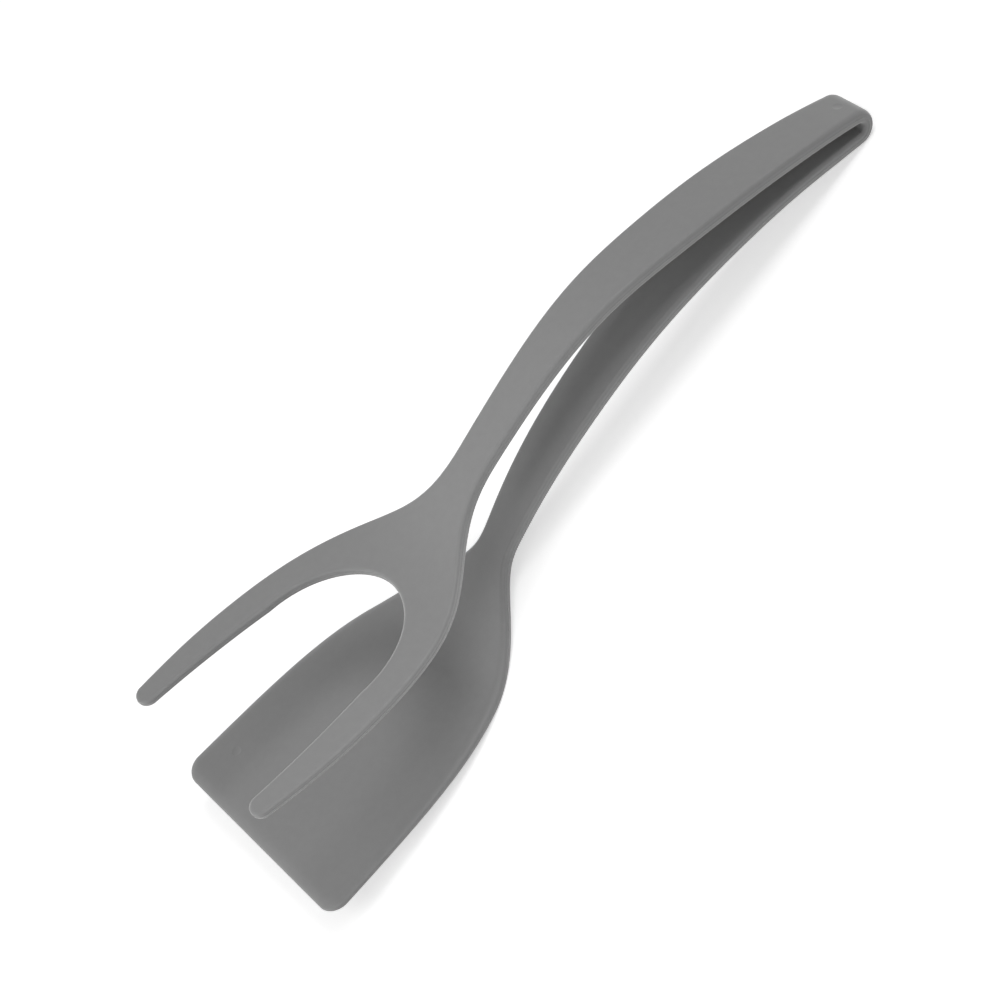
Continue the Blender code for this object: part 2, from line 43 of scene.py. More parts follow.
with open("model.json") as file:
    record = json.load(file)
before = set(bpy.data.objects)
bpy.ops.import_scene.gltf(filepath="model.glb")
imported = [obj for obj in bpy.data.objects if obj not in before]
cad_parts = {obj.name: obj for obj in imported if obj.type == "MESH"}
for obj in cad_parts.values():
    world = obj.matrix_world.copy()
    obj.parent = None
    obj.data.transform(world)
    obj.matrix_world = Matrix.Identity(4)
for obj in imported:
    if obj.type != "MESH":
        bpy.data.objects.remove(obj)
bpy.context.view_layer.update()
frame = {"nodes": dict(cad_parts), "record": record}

MM = 0.001

# Side profile knots, each a share along and a share up
# Along: rise knots, of the blade's rise; head knots, up to the neck; front and rear knots, of the handle
# Up: of the arm's arch height, but for rear knots of the way from the heel's height to the arch's
LOWER_RISE_SHARES = ((0.468, 0.122), (0.869, 0.349))
LOWER_FRONT_SHARES = ((0.071, 0.573), (0.240, 0.818), (0.445, 0.979), (0.609, 1.000))
LOWER_REAR_SHARES = ((0.795, 0.443),)
UPPER_REAR_SHARES = ((0.853, 0.418), (0.679, 0.727), (0.533, 0.903))
UPPER_FRONT_SHARES = ((0.374, 1.000), (0.240, 0.957), (0.105, 0.857))
UPPER_HEAD_SHARES = ((0.969, 0.736), (0.847, 0.648), (0.743, 0.610), (0.564, 0.630), (0.283, 0.696))
FORK_TIP_HEIGHT_SHARE = 0.749

# Plan knots, each a share along and a share out
# Along: head and neck knots, up to the neck; handle knots, of the handle
# Out: head knots, of the head's half width; others, of the way from the neck's half width to the handle's
BLADE_PLAN_SHARES = (
    (0.243, 0.972), (0.443, 0.919), (0.564, 0.846), (0.709, 0.671), (0.824, 0.423), (0.888, 0.260),
)
LOWER_NECK_PLAN_SHARES = ((0.940, 0.08), (1.000, 0.00))
LOWER_HANDLE_PLAN_SHARES = ((0.152, 0.50), (0.386, 0.87), (0.655, 1.00))
FORK_PLAN_SHARES = (
    (0.243, 1.000), (0.402, 0.988), (0.564, 0.913), (0.662, 0.811), (0.743, 0.668), (0.807, 0.511),
    (0.871, 0.351),
)
UPPER_NECK_PLAN_SHARES = ((0.936, 0.60), (1.000, 0.07))
UPPER_HANDLE_PLAN_SHARES = ((0.053, 0.00), (0.188, 0.19), (0.445, 0.77), (0.655, 1.00))

# Where the skin starts and stops thickening from a head to its arm, as shares of the way up to the neck
THICKNESS_STEP_SHARES = (0.476, 1.048)

# Flexures, measured from the outside of the heel bend, and how far to each side their bending spreads
FLEXURE_FROM_HEEL = 30 * MM
FLEXURE_REACH = 26 * MM

# How far the pattern of each half runs on past the middle of the heel bend before it is cut off there
PAST_HEEL = 5 * MM

HOLES_PER_ARM = 4

# The strap's two faces, by the way that each looks in depth
INNER_FACE, OUTER_FACE = 1, -1

# Height of the middle of a mark's stamp over the face that it presses, in depths of the mark
STAMP_HEIGHT = 2.5

# Mesh density
PROFILE_STEP = 0.25 * MM
OUTLINE_STEP = 1.0 * MM
STATION_STEP = 1.6 * MM
STATION_TURN = math.radians(1.5)
LIP_STATIONS = 14
CROSS_STEP = 3.0 * MM
CORNER_SEGMENTS = 16
CROTCH_SEGMENTS = 48
HOLE_SEGMENTS = 32
EDGE_SEGMENTS = 7
NOSE_SEGMENTS = 12
STAMP_SEGMENTS = (64, 48)
MERGE = 0.01 * MM
FLAT_ANGLE = math.radians(0.1)
SHARP_ANGLE = math.radians(50)

# A noise texture's values lie mostly in this range
NOISE_RANGE = (0.3, 0.7)

WHITE = (1, 1, 1, 1)

# Half the floor's side, the camera's sensor in millimetres, the side of the photograph's frame, the clipping
FLOOR_HALF = 6
SENSOR = 36
FRAME_PIXELS = 1000
CLIP = (0.05, 50)

# Softboxes: name, what it looks at, azimuth and elevation in degrees, distance, width and depth
AT_FORK, AT_MIDDLE = (-0.06, -0.02, 0.03), (0, 0, 0.03)
SOFTBOXES = (
    ("fork", AT_FORK, 0, 60, 0.18, 0.16, 0.08),
    ("low_near", AT_FORK, 0, 20, 0.2, 0.25, 0.06),
    ("heel", AT_MIDDLE, 90, 60, 0.9, 0.5, 0.5),
    ("blade", AT_MIDDLE, -90, 60, 0.9, 0.5, 0.5),
    ("low_blade", AT_MIDDLE, -90, 12, 0.9, 0.6, 0.35),
    ("low_far", AT_MIDDLE, 180, 20, 0.9, 0.8, 0.4),
)


def size(name, description, millimetres):
    """A length that the panel shows in the scene's units."""
    value = millimetres * MM
    near = {"soft_min": value * 0.5, "soft_max": value * 1.5}
    return FloatProperty(
        name=name, description=description, default=value, min=0, unit="LENGTH", precision=4, **near
    )


def angle(name, description, degrees):
    return FloatProperty(name=name, description=description, default=math.radians(degrees), subtype="ANGLE")


def share(name, description, value, top=1.0):
    return FloatProperty(name=name, description=description, default=value, min=0, max=top)


def watts(name, description, value):
    words = f"{description}, in watts"
    return FloatProperty(name=name, description=words, default=value, min=0, precision=3)


def colour(name, description, rgb):
    return FloatVectorProperty(
        name=name, description=description, default=rgb, size=3, min=0, max=1, subtype="COLOR"
    )


class TongsStrap(bpy.types.PropertyGroup):
    """The strap that is bent double, from the blade's front edge round the heel to the prong tips."""

    length: size("Length", "Blade's front edge to the outside of the heel bend", 295)
    neck_at: size("Neck place", "Blade's front edge to the narrowest place of its neck", 123.9)
    upper_arch: size("Upper arch", "Middle of the upper strap at its highest", 63.7)
    lower_arch: size("Lower arch", "Middle of the lower strap at its highest", 43.4)
    heel_height: size("Heel height", "Centre of the heel bend above the blade", 37.4)
    heel_radius: size("Heel radius", "Of the strap's middle round the heel bend", 4.0)
    lower_heel_angle: angle("Lower heel angle", "Direction of the lower arm where the bend starts", -14.1)
    upper_heel_angle: angle("Upper heel angle", "Direction of the upper arm where the bend ends", 157.7)
    neck_width: size("Neck width", "Width of both necks", 14.2)
    handle_width: size("Handle width", "Widest part of the handle", 20.7)
    heel_width: size("Heel width", "Width at the heel bend", 16.3)
    heel_nose: size("Heel nose", "How far each side curves in at the end of the heel bend", 0.2)
    heel_roll: size("Heel roll", "How far the rounding of the outer edge reaches in at the heel bend", 2.8)
    heel_roll_length: size("Heel roll length", "Over which that rounding narrows along each arm", 18)
    arm_thickness: size("Arm thickness", "Thickness of both arms", 4.3)
    edge_radius: size("Edge radius", "Rounding of the strap's edges", 1.2)
    parting_height: size("Parting line height", "How far the mould's parting line stands proud", 0.11)
    parting_width: size("Parting line width", "Width of the mould's parting line", 0.44)


class TongsHeads(bpy.types.PropertyGroup):
    """The turner blade and the fork."""

    blade_width: size("Blade width", "Across the blade's front edge", 84.6)
    blade_corner: size("Blade corner radius", "Front corners seen from above", 6.2)
    blade_rise: size("Blade rise", "Length in front of the neck over which the blade curves up", 44.9)
    blade_thickness: size("Blade thickness", "At the end of its flat", 3.1)
    lip_thickness: size("Lip thickness", "Behind the front edge's taper", 2.1)
    lip_edge: size("Lip edge", "Thickness at the very front", 1.2)
    blade_roll: size("Blade roll", "How far the rounding of the blade's upper edge reaches in", 3.6)
    rim_sink: size("Rim sink", "How much lower the rounded rim ends, before the blade is pressed", 0.8)
    lip_taper: size("Lip taper", "Length over which the front edge thins", 5.0)
    fork_width: size("Fork width", "Across the prongs at their widest", 74.9)
    fork_setback: size("Fork setback", "Prong tips behind the blade's front edge", 6.1)
    prong_tip: size("Prong tip radius", "Round end of each prong", 3.8)
    tip_opening: size("Tip opening", "Between the prongs at their tips", 55.7)
    crotch_width: size("Crotch width", "Between the prongs where they start to curve together", 51.1)
    crotch_depth: size("Crotch depth", "Length over which the prongs curve together", 30.9)
    palm_length: size("Palm length", "From the crotch back to the neck", 39.1)
    palm_thickness: size("Palm thickness", "Thickness of the fork's palm", 3.4)
    tip_thickness: size("Tip thickness", "Thickness of the prong tips", 2.7)


class TongsInsert(bpy.types.PropertyGroup):
    """The spring strip and the rooms that it and the two head plates fill."""

    gap: size("Gap", "Between the skin and what it is moulded on", 0.3)
    strip_thickness: size("Strip thickness", "Spring strip", 1.0)
    strip_width: size("Strip width", "Spring strip", 10.0)
    head_width: size("Strip head width", "Across the T at each end", 18.0)
    head_length: size("Strip head length", "Along the T at each end", 7.0)
    strip_in_blade: size("Strip in blade", "How far the T reaches into the blade plate", 23.0)
    strip_in_fork: size("Strip in fork", "How far the T reaches into the fork plate", 12.0)
    strip_hole: size("Strip hole radius", "Holes that the silicone grips through", 2.2)
    strip_first_hole: size("First strip hole", "Behind the rear end of the blade plate", 27.0)
    strip_hole_pitch: size("Strip hole pitch", "Between holes along an arm", 32.0)
    head_wall: size("Head wall", "Silicone over and under a plate", 0.5)
    side_wall: size("Side wall", "Silicone round the rim of a plate", 2.8)
    blade_lip: size("Blade lip", "Soft front lip in front of the blade plate", 16.0)
    prong_lip: size("Prong lip", "Soft end of each prong in front of the fork plate", 10.0)
    blade_plate_to_neck: size("Blade plate to neck", "Rear end of the plate to the neck", 22.9)
    fork_plate_tail: size("Fork plate tail", "From the crotch to the rear end of the plate", 18.3)
    plate_hole: size("Plate hole radius", "Holes that the silicone grips through", 3.5)
    blade_holes_front: size("Blade holes front", "Front row, behind the plate's front edge", 16.0)
    blade_hole_rows: size("Blade hole rows", "Between the two rows", 25.0)
    blade_hole_pitch: size("Blade hole pitch", "Across a row", 23.0)
    fork_hole_pitch: size("Fork hole pitch", "Across the crotch", 38.0)


class TongsMarks(bpy.types.PropertyGroup):
    """Shallow round marks that the mould's locating pins leave."""

    radius: size("Mark radius", "Of the round hollow", 1.7)
    depth: size("Mark depth", "At the middle of the hollow", 0.17)
    blade_from_front: size("Blade mark from front", "Behind the blade's front edge", 16.0)
    blade_from_middle: size("Blade mark from middle", "Towards the blade's far side", 31.0)
    heel_from_end: size("Heel mark from end", "In front of the outside of the heel bend", 6.6)


class TongsFinish(bpy.types.PropertyGroup):
    """Colours and surfaces."""

    silicone: colour("Silicone", "Mid-grey silicone", (0.225, 0.225, 0.225))
    silicone_roughness: share("Silicone roughness", "Matt moulded surface", 0.48)
    steel: colour("Steel", "Cold-rolled stainless strip", (0.56, 0.56, 0.55))
    nylon: colour("Nylon", "Black glass-filled nylon", (0.045, 0.045, 0.05))


class TongsStage(bpy.types.PropertyGroup):
    """Floor, lights and camera."""

    floor: colour("Floor", "Plain pale floor", (0.86, 0.86, 0.86))
    floor_lift: share("Floor lift", "How much whiter the floor is seen than it is lit", 0.52)
    sky: share("Sky", "Strength of the even light from all round", 0.165, top=4)
    fork_power: watts("Fork softbox", "Small and close over the near prong", 0.078)
    low_near_power: watts("Low near softbox", "Low and close on the near side", 0.034)
    heel_power: watts("Heel softbox", "High over the heel", 3.3)
    blade_power: watts("Blade softbox", "High over the blade", 1.45)
    low_blade_power: watts("Low blade softbox", "Low in front of the blade", 2.5)
    low_far_power: watts("Low far softbox", "Low on the far side", 0.4)
    focal_pixels: FloatProperty(
        name="Focal length", description=f"In pixels of a frame of {FRAME_PIXELS}", default=2700
    )
    distance: size("Camera distance", "From the camera to what it looks at", 833.8)
    target_x: size("Target along", "Along the blade from its front edge", 127.4)
    target_z: size("Target up", "Above the middle of the blade's thickness", 29.2)
    elevation: angle("Camera elevation", "Above the blade's plane", 48.1)
    azimuth: angle("Camera azimuth", "Turned round from square across the blade", -11.45)
    roll: angle("Camera roll", "Turned about its own line of sight", 37.4)


def knots_at(shares, span, low, high):
    """Places at shares of the way along a span, and of the way from a low value to a high one."""
    start, stop = span
    return [(start + along * (stop - start), low + up * (high - low)) for along, up in shares]


def spline_points(knots, first=None, last=None):
    """Points along the smoothest cubic through the knots, with end directions where they are given."""
    knots = np.array(knots)
    chord = np.linalg.norm(np.diff(knots, axis=0), axis=1)
    count = len(knots)
    weights = np.zeros((count, count))
    sides = np.zeros((count, 2))
    for i in range(1, count - 1):
        before, after = chord[i - 1], chord[i]
        weights[i, i - 1 : i + 2] = after, 2 * (before + after), before
        rise, fall = (knots[i] - knots[i - 1]) / before, (knots[i + 1] - knots[i]) / after
        sides[i] = 3 * (after * rise + before * fall)
    for row, inner, direction, start in ((0, 1, first, 0), (-1, -2, last, -2)):
        if direction is None:
            weights[row, row], weights[row, inner] = 2, 1
            sides[row] = 3 * (knots[start + 1] - knots[start]) / chord[row]
        else:
            weights[row, row] = 1
            sides[row] = direction
    slopes = np.linalg.solve(weights, sides)
    points = []
    for i in range(count - 1):
        steps = max(2, round(chord[i] / PROFILE_STEP))
        for t in np.arange(steps) / steps:
            points.append(
                (1 + 2 * t) * (1 - t) ** 2 * knots[i]
                + t**2 * (3 - 2 * t) * knots[i + 1]
                + t * (1 - t) * chord[i] * ((1 - t) * slopes[i] - t * slopes[i + 1])
            )
    points.append(knots[-1])
    return np.array(points)


def heading(turn):
    return np.array((math.cos(turn), math.sin(turn)))


def view_direction(azimuth, elevation):
    """Away from the tongs, with azimuth 0 on the near side and a quarter turn at the heel."""
    along, across = math.sin(azimuth), -math.cos(azimuth)
    return Vector((along * math.cos(elevation), across * math.cos(elevation), math.sin(elevation)))


def smoothstep(value):
    value = np.clip(value, 0, 1)
    return value * value * (3 - 2 * value)


class Strap:
    """The strap's middle line, widths and thicknesses, worked out from the sizes in the panel."""

    def __init__(self, scene):
        self.size = scene.tongs_strap
        self.heads = scene.tongs_heads
        self.flat_end = self.size.neck_at - self.heads.blade_rise
        self.crotch_end = self.size.neck_at - self.heads.palm_length
        self.crotch_start = self.crotch_end - self.heads.crotch_depth
        self.trace()
        self.widths = self.plan_table()
        self.tilt = self.resting_tilt()
        self.offset = self.resting_offset()

    def trace(self):
        size = self.size
        rise, head, handle = (self.flat_end, size.neck_at), (0, size.neck_at), (size.neck_at, size.length)
        heel, low, high = size.heel_height, size.lower_arch, size.upper_arch
        centre = np.array((size.length - size.arm_thickness / 2 - size.heel_radius, heel))
        steps = round(math.pi * size.heel_radius / PROFILE_STEP)
        turns = np.linspace(size.lower_heel_angle, size.upper_heel_angle, steps)
        bend = [centre + size.heel_radius * np.array((math.sin(a), -math.cos(a))) for a in turns]
        flat = [(x, 0) for x in np.arange(0, self.flat_end, PROFILE_STEP)]
        lower_knots = [
            (self.flat_end, 0),
            *knots_at(LOWER_RISE_SHARES, rise, 0, low),
            *knots_at(LOWER_FRONT_SHARES, handle, 0, low),
            *knots_at(LOWER_REAR_SHARES, handle, heel, low),
            bend[0],
        ]
        upper_knots = [
            bend[-1],
            *knots_at(UPPER_REAR_SHARES, handle, heel, high),
            *knots_at(UPPER_FRONT_SHARES, handle, 0, high),
            *knots_at(UPPER_HEAD_SHARES, head, 0, high),
            (self.heads.fork_setback, FORK_TIP_HEIGHT_SHARE * high),
        ]
        lower = spline_points(lower_knots, heading(0), heading(size.lower_heel_angle))
        upper = spline_points(upper_knots, heading(size.upper_heel_angle))
        self.points = np.concatenate([flat, lower, bend[1:-1], upper])
        runs = np.linalg.norm(np.diff(self.points, axis=0), axis=1)
        self.lengths = np.concatenate([[0], np.cumsum(runs)])
        slopes = np.gradient(self.points, self.lengths, axis=0)
        self.angles = np.unwrap(np.arctan2(slopes[:, 1], slopes[:, 0]))
        self.bend_start = self.lengths[len(flat) + len(lower) - 1]
        self.bend_end = self.lengths[-len(upper)]
        self.heel = (self.bend_start + self.bend_end) / 2
        self.end = self.lengths[-1]

    def along(self, x, upper=False):
        """How far along the strap the lower or upper arm reaches this X."""
        if upper:
            arm = self.lengths >= self.bend_end
            return np.interp(x, self.points[arm, 0][::-1], self.lengths[arm][::-1])
        arm = self.lengths <= self.bend_start
        return np.interp(x, self.points[arm, 0], self.lengths[arm])

    def place(self, pattern):
        """Points of the blade frame for rows of length, side and depth in the flat pattern."""
        s, y, depth = np.asarray(pattern, float).T
        turn = np.interp(s, self.lengths, self.angles)
        past_end = s - np.clip(s, 0, self.end)
        along, up = np.cos(turn), np.sin(turn)
        x = np.interp(s, self.lengths, self.points[:, 0]) + past_end * along - depth * up
        z = np.interp(s, self.lengths, self.points[:, 1]) + past_end * up + depth * along
        return np.stack([x, y, z], axis=1)

    def stand(self, points):
        """Points of the blade frame, moved to where the tongs rest on the table."""
        turn = np.array(Matrix.Rotation(self.tilt, 3, "Y"))
        return np.asarray(points) @ turn.T + self.offset

    def stations(self, start, stop):
        """Lengths at which a flat pattern is creased, closer together where the strap turns more."""
        found = [start]
        for s, turn in zip(self.lengths, self.angles):
            last = np.interp(found[-1], self.lengths, self.angles)
            far = s - found[-1] >= STATION_STEP or abs(turn - last) >= STATION_TURN
            if start < s < stop and far:
                found.append(s)
        return found[1:]

    def thickness(self, s, lip=True):
        """Skin thickness, from the thin heads to the arms, with the blade's front edge thinned."""
        x = np.interp(s, self.lengths, self.points[:, 0])
        heads = self.heads
        start, stop = (where * self.size.neck_at for where in THICKNESS_STEP_SHARES)
        upper = s > self.heel
        tip = np.where(upper, heads.tip_thickness, heads.lip_thickness)
        head = np.where(upper, heads.palm_thickness, heads.blade_thickness)
        thin = tip + (head - tip) * np.clip(x / start, 0, 1)
        full = thin + (self.size.arm_thickness - head) * smoothstep((x - start) / (stop - start))
        if not lip:
            return full
        taper = np.clip(x / heads.lip_taper, 0, 1)
        edge = heads.lip_edge + (full - heads.lip_edge) * np.sqrt(1 - (1 - taper) ** 2)
        return np.where(upper, full, edge)

    def press(self, s, depth):
        """Depths of the unpressed pattern, pressed to the skin, with the blade's lip rolled down in front."""
        full, thin = self.thickness(s, lip=False), self.thickness(s)
        return depth * thin / self.size.arm_thickness - (full - thin) / 2

    def plan_table(self):
        """Half widths of the strap's outer edge, as (lengths, half widths) over its whole length."""
        size, heads = self.size, self.heads
        head, handle = (0, size.neck_at), (size.neck_at, size.length)
        heel = (size.length - size.arm_thickness / 2 - size.heel_radius, size.heel_width / 2)
        narrow, wide = size.neck_width / 2, size.handle_width / 2
        lower_knots = [
            (0, heads.blade_width / 2),
            *knots_at(BLADE_PLAN_SHARES, head, 0, heads.blade_width / 2),
            *knots_at(LOWER_NECK_PLAN_SHARES, head, narrow, wide),
            *knots_at(LOWER_HANDLE_PLAN_SHARES, handle, narrow, wide),
            heel,
        ]
        upper_knots = [
            (heads.fork_setback, heads.tip_opening / 2 + 2 * heads.prong_tip),
            *knots_at(FORK_PLAN_SHARES, head, 0, heads.fork_width / 2),
            *knots_at(UPPER_NECK_PLAN_SHARES, head, narrow, wide),
            *knots_at(UPPER_HANDLE_PLAN_SHARES, handle, narrow, wide),
            heel,
        ]
        lower, upper = spline_points(lower_knots), spline_points(upper_knots)
        nose = np.linspace(0, 1, NOSE_SEGMENTS + 1)[1:-1]
        round_heel = self.bend_start + nose * (self.bend_end - self.bend_start)
        nose_widths = size.heel_width / 2 - size.heel_nose * np.sin(math.pi * nose) ** 2
        lengths = [self.along(lower[:, 0]), round_heel, self.along(upper[::-1, 0], upper=True)]
        return np.concatenate(lengths), np.concatenate([lower[:, 1], nose_widths, upper[::-1, 1]])

    def rise(self, s):
        """Nothing on the blade's flat, growing to one at the neck."""
        return smoothstep((s - self.flat_end) / (self.size.neck_at - self.flat_end))

    def blade_roll(self, s):
        """Reach of the rounding of the inner face's edge: wide on the blade, the strap's own on the arms."""
        return self.heads.blade_roll + (self.size.edge_radius - self.heads.blade_roll) * self.rise(s)

    def rim_sink(self, s):
        """How much lower the blade's rim lies than the strap's own rounding puts it, before it is pressed."""
        return self.heads.rim_sink * (1 - self.rise(s))

    def heel_roll(self, s):
        """Reach of the rounding of the outer face's edge: wide round the heel bend, else the strap's own."""
        fade = smoothstep(abs(s - self.heel) / self.size.heel_roll_length)
        return self.size.heel_roll + (self.size.edge_radius - self.size.heel_roll) * fade

    def half_width(self, s):
        return float(np.interp(s, *self.widths))

    def resting_tilt(self):
        """Slope of the line that touches the blade's underside and the heel, on which the tongs rest."""
        s = self.lengths[self.lengths < self.heel]
        under = self.place(np.stack([s, 0 * s, -self.thickness(s, lip=False) / 2], axis=1))[:, ::2]
        middle = self.size.length / 2
        blade, heel = under[under[:, 0] < middle], under[under[:, 0] > middle]
        slopes = (heel[None, :, 1] - blade[:, None, 1]) / (heel[None, :, 0] - blade[:, None, 0])
        return math.atan(slopes.min(axis=1).max())

    def flexure(self, upper=False):
        """How far along the strap its lower or upper flexure lies."""
        return self.along(self.size.length - FLEXURE_FROM_HEEL, upper)

    def resting_offset(self):
        """Puts the axis of the lower flexure where the packed frame has it."""
        axis = next(joint for joint in frame["record"]["behaviour"]["joints"] if joint["child"] == "heel")
        turn = Matrix.Rotation(self.tilt, 3, "Y")
        where = self.place([(self.flexure(), 0, 0)])[0]
        return np.array(Vector(axis["pos_m"]) - turn @ Vector(where))


def arc(centre, radius, start, stop, segments):
    """Points on an arc in the flat pattern, its angles in quarter turns."""
    angles = np.linspace(start, stop, segments + 1) * math.pi / 2
    return [(centre[0] + radius * math.cos(a), centre[1] + radius * math.sin(a)) for a in angles]


def circle(centre, radius):
    return arc(centre, radius, 0, 4, HOLE_SEGMENTS)[:-1]


def side_run(strap, start, stop):
    """Points down one outer edge of the flat pattern, between two lengths."""
    count = max(2, round(abs(stop - start) / OUTLINE_STEP))
    return [(s, strap.half_width(s)) for s in np.linspace(start, stop, count + 1)]


def mirrored(half):
    """A closed outline from its half at +Y, which may end on the middle line, started at -Y."""
    return [(s, -y) for s, y in half] + [(s, y) for s, y in reversed(half) if y > MERGE]


def grown(outline, distance):
    """The outline moved out along its normals, less the points that another corner's move has passed."""
    points = np.array(outline)
    area = (points[:, 0] * np.roll(points[:, 1], -1) - np.roll(points[:, 0], -1) * points[:, 1]).sum()
    ahead = np.roll(points, -1, axis=0) - points
    ahead /= np.linalg.norm(ahead, axis=1)[:, None]
    normals = np.stack([ahead[:, 1], -ahead[:, 0]], axis=1) * np.sign(area)
    bisector = normals + np.roll(normals, 1, axis=0)
    bisector /= (bisector**2).sum(axis=1)[:, None] / 2
    moved = points + distance * bisector
    turned_back = ((np.roll(moved, -1, axis=0) - moved) * ahead).sum(axis=1) < 0
    passed = set()
    for i in np.flatnonzero(turned_back):
        ends = (i, (i + 1) % len(points))
        passed.add(min(ends, key=lambda end: (bisector[end] ** 2).sum()))
    return [tuple(point) for i, point in enumerate(moved) if i not in passed]


def blade_outline(strap, front, stop):
    """The spatula's flat pattern from a front edge, with rounded corners, to a length up the arm."""
    radius = strap.heads.blade_corner
    corner = front + radius
    centre = (corner, strap.half_width(corner) - radius)
    rounded = arc(centre, radius, 2, 1, CORNER_SEGMENTS)
    return mirrored(rounded + side_run(strap, corner + OUTLINE_STEP, stop))


def fork_outline(strap, tip_cut, stop):
    """The fork's flat pattern: the outer edge, a round tip, the inner edge and the crotch."""
    heads = strap.heads
    tip = strap.end - tip_cut - heads.prong_tip
    centre = (tip, strap.half_width(tip) - heads.prong_tip)
    rounded = arc(centre, heads.prong_tip, 1, -1, 2 * CORNER_SEGMENTS)
    inner_tip, half = rounded[-1], heads.crotch_width / 2
    start, end = strap.along(strap.crotch_start, upper=True), strap.along(strap.crotch_end, upper=True)
    run = inner_tip[0] - start
    count = round(run / OUTLINE_STEP)
    inner = [
        (s, inner_tip[1] + (half - inner_tip[1]) * ((inner_tip[0] - s) / run) ** 2)
        for s in np.linspace(inner_tip[0], start, count + 1)[1:-1]
    ]
    quarter = np.linspace(0, math.pi / 2, CROTCH_SEGMENTS + 1)[:-1]
    crotch = [(start - (start - end) * math.sin(a), half * math.cos(a)) for a in quarter]
    return mirrored(side_run(strap, stop, tip - OUTLINE_STEP) + rounded + inner + crotch + [(end, 0)])


def new_object(name, data):
    """An object in the scene for a mesh, a curve, a lamp or a camera."""
    made = bpy.data.objects.new(name, data)
    bpy.context.scene.collection.objects.link(made)
    return made


def mesh_object(name, bm):
    """An object in the scene from a bmesh, which it uses up."""
    mesh = bpy.data.meshes.new(name)
    bm.to_mesh(mesh)
    bm.free()
    return new_object(name, mesh)


def finished_shape(obj):
    """A bmesh of the object with its curve settings or modifiers worked out."""
    graph = bpy.context.evaluated_depsgraph_get()
    mesh = bpy.data.meshes.new_from_object(obj.evaluated_get(graph))
    bm = bmesh.new()
    bm.from_mesh(mesh)
    bpy.data.meshes.remove(mesh)
    return bm


def flat_mesh(outline, thickness, edge_radius=0.0, holes=()):
    """A plate of the flat pattern, with holes, and with its rim rounded to the outline."""
    curve = bpy.data.curves.new("pattern", "CURVE")
    curve.dimensions = "2D"
    curve.fill_mode = "BOTH"
    curve.bevel_depth = edge_radius
    curve.bevel_resolution = EDGE_SEGMENTS - 1
    curve.extrude = thickness / 2 - edge_radius
    for points in (grown(outline, -edge_radius), *holes):
        spline = curve.splines.new("POLY")
        spline.points.add(len(points) - 1)
        for point, (s, y) in zip(spline.points, points):
            point.co = (s, y, 0, 1)
        spline.use_cyclic_u = True
    bm = finished_shape(new_object("pattern", curve))
    bpy.data.curves.remove(curve)
    bmesh.ops.remove_doubles(bm, verts=bm.verts, dist=MERGE)
    bmesh.ops.dissolve_limit(bm, angle_limit=FLAT_ANGLE, verts=bm.verts, edges=bm.edges)
    return bm


def nearest_on(outline, place):
    """The place on an outline that lies nearest to a place in the flat pattern."""
    starts, ends = outline, np.roll(outline, -1, axis=0)
    runs = ends - starts
    t = np.clip(((place - starts) * runs).sum(axis=1) / (runs**2).sum(axis=1), 0, 1)
    rim = starts + t[:, None] * runs
    return rim[((place - rim) ** 2).sum(axis=1).argmin()]


def widen_roll(bm, outline, strap):
    """Spreads the rounding of the blade's upper edge inwards, and of the outer edge round the heel bend."""
    own = strap.size.edge_radius
    for vert in bm.verts:
        reach = strap.blade_roll(vert.co.x) if vert.co.z > 0 else strap.heel_roll(vert.co.x)
        if reach > own:
            place = np.array(vert.co.xy)
            nearest = nearest_on(outline, place)
            vert.co.xy = nearest + (place - nearest) * reach / own


def sink_rim(bm, outline, strap):
    """Lowers the blade's rim from above, so that its upper face rolls down most of its thickness."""
    wall = strap.size.arm_thickness - 2 * strap.size.edge_radius
    bottom = -wall / 2
    for vert in bm.verts:
        reach = strap.blade_roll(vert.co.x)
        if vert.co.z > bottom and reach > strap.size.edge_radius:
            place = np.array(vert.co.xy)
            inside = min(np.linalg.norm(place - nearest_on(outline, place)) / reach, 1)
            sunk = strap.rim_sink(vert.co.x) * (1 - math.sqrt(inside * (2 - inside)))
            vert.co.z -= sunk * min((vert.co.z - bottom) / wall, 1)


def crease(bm, place, across, clear=False):
    """Cuts the flat pattern along a line square to the direction, and may clear what lies beyond it."""
    return bmesh.ops.bisect_plane(
        bm,
        geom=bm.verts[:] + bm.edges[:] + bm.faces[:],
        dist=MERGE,
        plane_co=place,
        plane_no=across,
        clear_outer=clear,
    )


def cut_off(bm, s, outward):
    """Ends the flat pattern at this length, with a closed end."""
    cut = crease(bm, (s, 0, 0), (outward, 0, 0), clear=True)
    rim = [edge for edge in cut["geom_cut"] if isinstance(edge, bmesh.types.BMEdge)]
    bmesh.ops.edgeloop_fill(bm, edges=rim)


def add_parting_line(bm, strap):
    """A fine ridge round the middle of the side walls, where the halves of the mould met."""
    for z in (-0.5, 0, 0.5):
        crease(bm, (0, 0, z * strap.size.parting_width), (0, 0, 1))
    bm.normal_update()
    ridge = [(vert, vert.normal.copy()) for vert in bm.verts if abs(vert.co.z) < MERGE]
    for vert, out in ridge:
        vert.co += out * strap.size.parting_height


